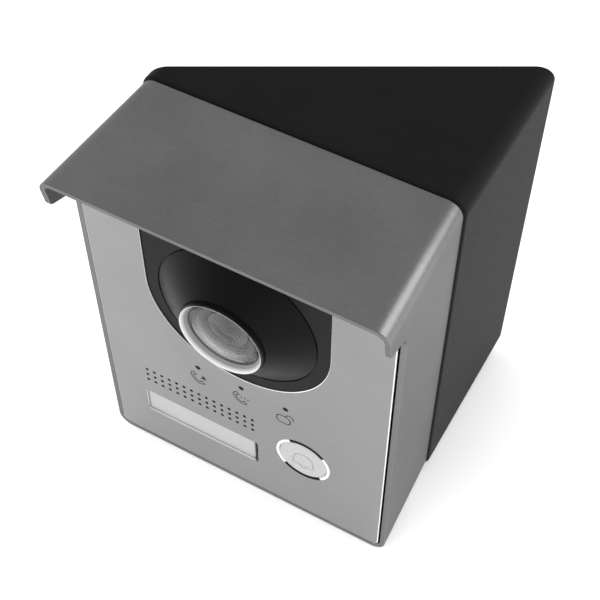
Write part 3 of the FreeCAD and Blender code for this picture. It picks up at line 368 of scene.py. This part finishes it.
def coated_material():
    """A coated lens element seen from outside: dark, with painted shade making it darkest at its centre and a little
    paler towards its rim.
    """
    m = Mat("lens_coated", rough=0.22, spec=0.5)
    sep = m.t.nodes.new("ShaderNodeSeparateXYZ")
    m.t.links.new(m.coords(), sep.inputs[0])
    cx, cz = AXIS
    dx = m.math("SUBTRACT", sep.outputs["X"], cx)
    dz = m.math("SUBTRACT", sep.outputs["Z"], cz)
    r = m.math("SQRT", m.math("ADD", m.math("MULTIPLY", dx, dx), m.math("MULTIPLY", dz, dz)))
    # painted shade: 0.012 at the centre, rising to 0.05 between 1.5 and 6 mm out
    m.colour(m.mix(m.span(r, 0, 1, 1.5, 6.0), (0.012, 0.012, 0.014), (0.05, 0.05, 0.052)))
    return m.m


lens_coated = coated_material()


def film_material():
    m = Mat("film_orange", rough=0.3, spec=0.5)
    wave = m.t.nodes.new("ShaderNodeTexWave")
    wave.inputs["Scale"].default_value = 1.0
    m.t.links.new(m.coords((0.7, 0.7, 0.7)), wave.inputs["Vector"])
    m.colour(m.mix(wave.outputs["Fac"], (0.22, 0.10, 0.02), (0.45, 0.22, 0.05)))
    return m.m


film_orange = film_material()


def cloth_material():
    m = Mat("mesh_fabric", rough=0.85, spec=0.2)
    checker = m.t.nodes.new("ShaderNodeTexChecker")
    checker.inputs["Scale"].default_value = 1.0
    m.t.links.new(m.coords((3.0, 3.0, 3.0)), checker.inputs["Vector"])
    m.colour(m.mix(checker.outputs["Fac"], (0.006, 0.006, 0.006), (0.016, 0.016, 0.016)))
    m.bump(checker.outputs["Fac"], 0.08)
    return m.m


mesh_fabric = cloth_material()


def paper_material(name, base, rough=0.6):
    m = Mat(name, rough=rough, spec=0.3)
    n = m.noise((1.2, 1.2, 1.2), detail=6.0, rough=0.7)
    m.colour(m.mix(m.span(n, 0, 1), [c * 0.95 for c in base], base))
    m.bump(n, 0.006)
    return m.m


card_paper = paper_material("card_paper", (0.9, 0.9, 0.895))
cone_paper = paper_material("cone_paper", (0.05, 0.05, 0.05))


def milky(name, base, rough, glow=0.0):
    m = Mat(name, rough=rough, spec=0.5, sub=0.15, sub_scale=0.002, emit=(1, 1, 1), emit_strength=glow)
    n = m.noise((0.6, 0.6, 0.6), detail=3.0)
    m.colour(m.mix(m.span(n, 0, 1), [c * 0.96 for c in base], base))
    m.roughness(m.span(n, rough - 0.04, rough + 0.04))
    m.b.inputs["Subsurface Radius"].default_value = (1, 1, 1)
    return m.m


ring_lit = milky("ring_lit", (0.86, 0.86, 0.87), 0.22, glow=0.05)
clear_plastic = milky("clear_plastic", (0.56, 0.56, 0.555), 0.4)
clear_plastic.node_tree.nodes["Principled BSDF"].inputs["Transmission Weight"].default_value = 0.2
led_white = milky("led_white", (0.85, 0.85, 0.72), 0.25)
silicone = milky("silicone", (0.42, 0.42, 0.42), 0.5)
button_face = milky("button_face", (0.47, 0.47, 0.47), 0.3)
smoke_plastic = moulded("smoke_plastic", (0.003, 0.003, 0.003), 0.3, spec=0.1, pit=0.002, size=3.0)

MATERIALS = {
    "wedge_bracket": wedge_black, "rain_hood": hood_steel, "mounting_plate": zinc, "mounting_screws": screw_steel, "rear_housing": case_black,
    "security_insert": brass, "security_screw": screw_steel, "housing_gasket": seal_rubber, "cable_grommet": seal_rubber, "front_frame": case_black,
    "front_panel": plate_steel, "camera_fascia": fascia_black, "lens_seal": seal_rubber, "lens_ring": lens_retainer, "lens_window": lens_glass,
    "camera_board": board_green, "camera_screws": screw_steel, "image_sensor": chip_black, "lens_holder": lens_black, "lens_barrel": lens_black,
    "lens_front_element": lens_coated, "lens_rear_element": lens_coated, "camera_ribbon": film_orange, "status_light_pipes": smoke_plastic,
    "board_leds": led_white, "speaker_mesh": mesh_fabric, "speaker_gasket": seal_rubber, "speaker_frame": case_black, "speaker_diaphragm": cone_paper,
    "speaker_magnet": shield_tin, "microphone": can_aluminium, "microphone_boot": seal_rubber, "nameplate_window": clear_plastic,
    "nameplate_card": card_paper, "nameplate_light_guide": diffuse_plastic, "button_bezel": ring_black, "button_light_arcs": ring_lit,
    "call_button": button_face, "button_membrane": silicone, "tact_switch": chip_black, "tact_stem": case_black, "main_board": board_green,
    "board_screws": screw_steel, "processor": chip_black, "processor_shield": shield_tin, "capacitors": can_aluminium, "power_inductor": ferrite,
    "lock_relay": relay_blue, "terminal_block": terminal_green, "terminal_screws": brass, "housing_screws": screw_steel, "tamper_switch": chip_black,
    "tamper_plunger": diffuse_plastic,
}
for node, material in MATERIALS.items():
    put(node, material)

# ------------------------------------------------------------------ turned lens window
CAM_Z = 94.2


def dome(r0, r1, d_rim, rise, r_rim, steps):
    """Profile points of a spherical cap from radius r0 to r1; the cap has the given rise over r_rim."""
    R = (r_rim * r_rim + rise * rise) / (2 * rise)
    pts = []
    for k in range(steps + 1):
        r = r0 + (r1 - r0) * k / steps
        pts.append((r, d_rim + rise - R + math.sqrt(R * R - r * r)))
    return pts


def turned(name, profile, sharp, node, slot, material, centre=(0, CAM_Z), loop_back=False, body="station", seg=128):
    """A closed turned body about the camera's or the button's axis.  profile runs from the axis out and back to it,
    or with loop_back round a ring's section."""
    cx, cz = centre
    bm = bmesh.new()
    rings = []
    for r, d in profile:
        if r < 1e-6:
            rings.append([bm.verts.new(row(cx, d, cz))])
        else:
            rings.append([bm.verts.new(row(cx + r * math.cos(2 * math.pi * k / seg), d, cz + r * math.sin(2 * math.pi * k / seg))) for k in range(seg)])
    for i in range(len(rings) - (0 if loop_back else 1)):
        a, b = rings[i], rings[(i + 1) % len(rings)]
        for k in range(seg):
            n = (k + 1) % seg
            loop = [a[0], b[k], b[n]] if len(a) == 1 else [a[k], b[0], a[n]] if len(b) == 1 else [a[k], b[k], b[n], a[n]]
            bm.faces.new(loop)
    bmesh.ops.recalc_face_normals(bm, faces=bm.faces)
    for f in bm.faces:
        f.smooth = True
    for i in sharp:
        members = set(rings[i])
        for e in bm.edges:
            if e.verts[0] in members and e.verts[1] in members:
                e.smooth = False
    me = bpy.data.meshes.new(name)
    bm.to_mesh(me)
    bm.free()
    me.materials.append(material)
    o = bpy.data.objects.new(name, me)
    bpy.context.scene.collection.objects.link(o)
    if body:
        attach(o, body)
    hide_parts(node)
    return o


outer = dome(0, 11.8, 42.7, 2.2, 11.8, 14)
inner = dome(0, 10.5, 41.2, 1.8, 10.5, 12)
turned("camera_window", outer + [(11.8, 41.2)] + inner[::-1], (14, 15, 16), "lens_window", "lens_glass", lens_glass)


# the button's silicone membrane, its rim in the bezel; on the real station its crown goes in with the button, here it
# is built once in place on no body
BX, BZ = 22.15, 33.2
section = [(2.6, 31.88), (4.8, 31.88), (5.0, 31.2), (5.8, 30.84), (6.6, 30.47), (7.45, 30.09), (8.3, 29.7), (9.55, 29.7), (9.55, 28.62),
           (8.3, 28.62), (7.4, 29.03), (6.5, 29.44), (5.5, 29.89), (4.6, 30.3), (3.6, 30.6), (2.6, 30.9)]
fold = turned("membrane_fold", section, (0, 1, 6, 7, 8, 9, 15), "button_membrane", "silicone", silicone, centre=(BX, BZ), loop_back=True, body=None, seg=96)
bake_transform(fold)


def name_cover():
    """The name plate's frosted cover, with rounded corners and a fine bevel round its front."""
    x0, x1, z0, z1, r = -38.04, 3.54, 17.46, 29.44, 0.74
    loops = []
    for d, inset in ((33.5, 0.0), (34.55, 0.0), (34.7, 0.15)):
        pts = []
        for cx, cz, a0 in ((x1 - r, z1 - r, 0), (x0 + r, z1 - r, 90), (x0 + r, z0 + r, 180), (x1 - r, z0 + r, 270)):
            for k in range(7):
                a = math.radians(a0 + 15 * k)
                pts.append((cx + (r - inset) * math.cos(a), cz + (r - inset) * math.sin(a)))
        loops.append([(x, d, z) for x, z in pts])
    bm = bmesh.new()
    rings = [[bm.verts.new(row(*p)) for p in loop] for loop in loops]
    n = len(rings[0])
    for a, b in zip(rings, rings[1:]):
        for k in range(n):
            bm.faces.new((a[k], a[(k + 1) % n], b[(k + 1) % n], b[k]))
    bm.faces.new(rings[0][::-1])
    bm.faces.new(rings[-1])
    bmesh.ops.recalc_face_normals(bm, faces=bm.faces)
    me = bpy.data.meshes.new("name_cover")
    bm.to_mesh(me)
    bm.free()
    me.materials.append(clear_plastic)
    o = bpy.data.objects.new("name_cover", me)
    bpy.context.scene.collection.objects.link(o)
    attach(o, "station")
    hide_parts("nameplate_window")


name_cover()

# ------------------------------------------------------------------ printed pictograms
INK = 0.02


def surface(node, x, z):
    """Depth of a node's front surface at station (x, z)."""
    o = N[node]
    ahead = row(x, 60, z)
    back = (row(x, 0, z) - ahead).normalized()
    hit, at, _, _ = o.ray_cast(ahead, back)
    if not hit:
        raise RuntimeError("no surface on %s at %.1f, %.1f" % (node, x, z))
    return 60 - (at - ahead).length * 1000


def smooth(pts, closed=False, steps=6):
    """Catmull-Rom line through the points."""
    n = len(pts)
    get = (lambda i: pts[i % n]) if closed else (lambda i: pts[min(max(i, 0), n - 1)])
    out = []
    for i in range(n if closed else n - 1):
        a, b, c, d = get(i - 1), get(i), get(i + 1), get(i + 2)
        for k in range(steps):
            t = k / steps
            out.append(tuple(0.5 * (2 * b[j] + (c[j] - a[j]) * t + (2 * a[j] - 5 * b[j] + 4 * c[j] - d[j]) * t * t
                                    + (3 * b[j] - a[j] - 3 * c[j] + d[j]) * t ** 3) for j in range(2)))
    if not closed:
        out.append(pts[-1])
    return out


def ribbon(bm, node, pts, width, closed=False):
    """A raised line of the given width along the points, laid on the node's surface."""
    n = len(pts)
    rings = []
    for i, (x, z) in enumerate(pts):
        if closed:
            (ax, az), (bx, bz) = pts[i - 1], pts[(i + 1) % n]
        else:
            (ax, az), (bx, bz) = pts[max(i - 1, 0)], pts[min(i + 1, n - 1)]
        tx, tz = bx - ax, bz - az
        k = math.hypot(tx, tz) or 1.0
        nx, nz = -tz / k * width / 2, tx / k * width / 2
        d = surface(node, x, z)
        rings.append([bm.verts.new(row(x + s_ * nx, d + h, z + s_ * nz)) for s_, h in ((1, -INK), (1, INK), (-1, INK), (-1, -INK))])
    for i in range(n if closed else n - 1):
        a, b = rings[i], rings[(i + 1) % n]
        for k in range(4):
            bm.faces.new((a[k], a[(k + 1) % 4], b[(k + 1) % 4], b[k]))
    if not closed:
        bm.faces.new(rings[0][::-1])
        bm.faces.new(rings[-1])


def patch(bm, node, pts):
    """A raised filled shape."""
    top = [bm.verts.new(row(x, surface(node, x, z) + INK, z)) for x, z in pts]
    low = [bm.verts.new(row(x, surface(node, x, z) - INK, z)) for x, z in pts]
    bm.faces.new(top)
    bm.faces.new(low[::-1])
    n = len(pts)
    for i in range(n):
        bm.faces.new((top[i], low[i], low[(i + 1) % n], top[(i + 1) % n]))


def mark(name, body, material, draw):
    bm = bmesh.new()
    draw(bm)
    bmesh.ops.recalc_face_normals(bm, faces=bm.faces)
    me = bpy.data.meshes.new(name)
    bm.to_mesh(me)
    bm.free()
    me.materials.append(material)
    o = bpy.data.objects.new(name, me)
    bpy.context.scene.collection.objects.link(o)
    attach(o, body)
    return o


def sausage(line, half):
    """Closed outline round a line, at the given half width, with round ends."""
    left, right = [], []
    n = len(line)
    for i, (x, z) in enumerate(line):
        (ax, az), (bx, bz) = line[max(i - 1, 0)], line[min(i + 1, n - 1)]
        tx, tz = bx - ax, bz - az
        k = math.hypot(tx, tz)
        w = half(i / (n - 1))
        left.append((x - tz / k * w, z + tx / k * w))
        right.append((x + tz / k * w, z - tx / k * w))
    return left + right[::-1]


def disc(x, z, r, n=14):
    return [(x + r * math.cos(2 * math.pi * k / n), z + r * math.sin(2 * math.pi * k / n)) for k in range(n)]


ink_dark = moulded("ink_dark", (0.018, 0.018, 0.018), 0.55, spec=0.3, pit=0.003, size=6.0, cloud=0.15)
ink_pale = moulded("ink_pale", (0.30, 0.30, 0.30), 0.5, spec=0.3, pit=0.003, size=6.0, cloud=0.08)


def handset(bm, x, z):
    """A telephone handset on its back, drawn as an outline."""
    line = smooth([(x - 0.9, z + 1.9), (x - 2.1, z + 0.7), (x - 1.3, z - 1.3), (x + 0.4, z - 2.5), (x + 1.9, z - 1.7)])
    ribbon(bm, "front_panel", sausage(line, lambda t: 0.42 + 0.42 * (2 * abs(t - 0.5)) ** 3), 0.36, closed=True)


def call_mark(bm):
    handset(bm, -15.9, 52.6)
    bell = [(-15.0, 52.7), (-14.4, 53.3), (-14.2, 54.3), (-13.7, 54.7), (-13.2, 54.3), (-13.0, 53.3), (-12.6, 52.8)]
    patch(bm, "front_panel", bell)


def talk_mark(bm):
    handset(bm, -0.3, 52.7)
    for x in (0.1, 1.3, 2.5):
        patch(bm, "front_panel", disc(x, 53.2, 0.33))


def lock_mark(bm):
    body = [(12.9, 51.1), (12.9, 52.9), (13.9, 53.8), (16.2, 53.8), (17.4, 52.9), (17.6, 51.2), (16.6, 50.1), (14.0, 50.1)]
    ribbon(bm, "front_panel", smooth(body, closed=True), 0.42, closed=True)
    ribbon(bm, "front_panel", smooth([(15.9, 53.85), (16.4, 54.9), (17.5, 55.4), (18.5, 54.7), (18.8, 53.4)]), 0.42)


def bell_mark(bm):
    x, z = 22.35, 33.1
    side = [(-4.3, -3.0), (-3.6, -2.2), (-3.5, 0.2), (-2.7, 2.3), (0.0, 3.5), (2.7, 2.3), (3.5, 0.2), (3.6, -2.2), (4.3, -3.0)]
    line = smooth([(x + a, z + b) for a, b in side])
    ribbon(bm, "call_button", line, 0.38)
    ribbon(bm, "call_button", [(x - 4.3 + 8.6 * k / 8, z - 3.0) for k in range(9)], 0.38)
    ribbon(bm, "call_button", smooth([(x - 1.3, z - 3.2), (x - 0.6, z - 4.1), (x + 0.6, z - 4.1), (x + 1.3, z - 3.2)]), 0.34)


mark("call_symbol", "station", ink_dark, call_mark)
mark("talk_symbol", "station", ink_dark, talk_mark)
mark("door_symbol", "station", ink_dark, lock_mark)
mark("bell_symbol", "call_button", ink_pale, bell_mark)

# ------------------------------------------------------------------ stage
FLOOR_Z = cad_lo.z


def stage():
    me = bpy.data.meshes.new("floor")
    s = 4.0
    me.from_pydata([(-s, -s, FLOOR_Z), (s, -s, FLOOR_Z), (s, s, FLOOR_Z), (-s, s, FLOOR_Z)], [], [(0, 1, 2, 3)])
    o = bpy.data.objects.new("floor", me)
    bpy.context.scene.collection.objects.link(o)
    m = Mat("floor_white", rough=0.85, spec=0.2, emit=(1, 1, 1), emit_strength=0.22)
    n = m.noise((0.002, 0.002, 0.002), detail=2.0)
    m.colour(m.mix(m.span(n, 0, 1), (0.93, 0.93, 0.93), (0.945, 0.945, 0.945)))
    me.materials.append(m.m)


stage()


def area(name, at, look, size, power):
    d = bpy.data.lights.new(name, "AREA")
    d.shape = "RECTANGLE"
    d.size, d.size_y = size
    d.energy = power
    o = bpy.data.objects.new(name, d)
    bpy.context.scene.collection.objects.link(o)
    o.location = at
    o.rotation_euler = (Vector(look) - Vector(at)).to_track_quat("-Z", "Y").to_euler()
    return o


CENTRE = (-0.015, -0.05, 0.0)
key = area("key", (-0.8, -1.1, 1.5), CENTRE, (1.2, 1.2), 12)
key.visible_glossy = False
key.visible_camera = False
# a small lamp beside the hood draws the bright line along its bend
glint = area("glint", (0.130, -0.074, 0.149), (0.0073, -0.0958, 0.066), (0.11, 0.11), 0.078)
glint.visible_diffuse = False
glint.visible_camera = False


def world():
    """A pale studio: one even tone lights the floor, and gloss sees a gradient, brighter towards the horizon."""
    w = bpy.data.worlds.new("studio")
    bpy.context.scene.world = w
    w.use_nodes = True
    t = w.node_tree
    t.nodes.clear()
    out = t.nodes.new("ShaderNodeOutputWorld")
    even = t.nodes.new("ShaderNodeBackground")
    even.inputs["Color"].default_value = (1, 1, 1, 1)
    even.inputs["Strength"].default_value = 1.06
    seen = t.nodes.new("ShaderNodeBackground")
    seen.inputs["Color"].default_value = (1, 1, 1, 1)
    tc = t.nodes.new("ShaderNodeTexCoord")
    sep = t.nodes.new("ShaderNodeSeparateXYZ")
    ramp = t.nodes.new("ShaderNodeMapRange")
    for key_, v in (("From Min", 0.0), ("From Max", 0.9), ("To Min", 0.75), ("To Max", 0.45)):
        ramp.inputs[key_].default_value = v
    t.links.new(tc.outputs["Generated"], sep.inputs[0])
    t.links.new(sep.outputs["Z"], ramp.inputs["Value"])
    t.links.new(ramp.outputs[0], seen.inputs["Strength"])
    path = t.nodes.new("ShaderNodeLightPath")
    both = t.nodes.new("ShaderNodeMixShader")
    bent = t.nodes.new("ShaderNodeMath")
    bent.operation = "MAXIMUM"
    t.links.new(path.outputs["Is Glossy Ray"], bent.inputs[0])
    t.links.new(path.outputs["Is Transmission Ray"], bent.inputs[1])
    t.links.new(bent.outputs[0], both.inputs[0])
    t.links.new(even.outputs[0], both.inputs[1])
    t.links.new(seen.outputs[0], both.inputs[2])
    t.links.new(both.outputs[0], out.inputs[0])


world()
sc = bpy.context.scene
sc.view_settings.view_transform = "Standard"
sc.view_settings.look = "None"
sc.view_settings.exposure = 0.0
sc.view_settings.gamma = 1.0

cam_data = bpy.data.cameras.new("camera")
cam_data.sensor_width = 36.0
cam_data.lens = 76.8
cam_data.clip_start, cam_data.clip_end = 0.01, 20
cam = bpy.data.objects.new("camera", cam_data)
sc.collection.objects.link(cam)
cam.location = (-0.0148, -0.2769, 0.3204)
cam.rotation_euler = (math.radians(37.38), 0, 0)
sc.camera = cam
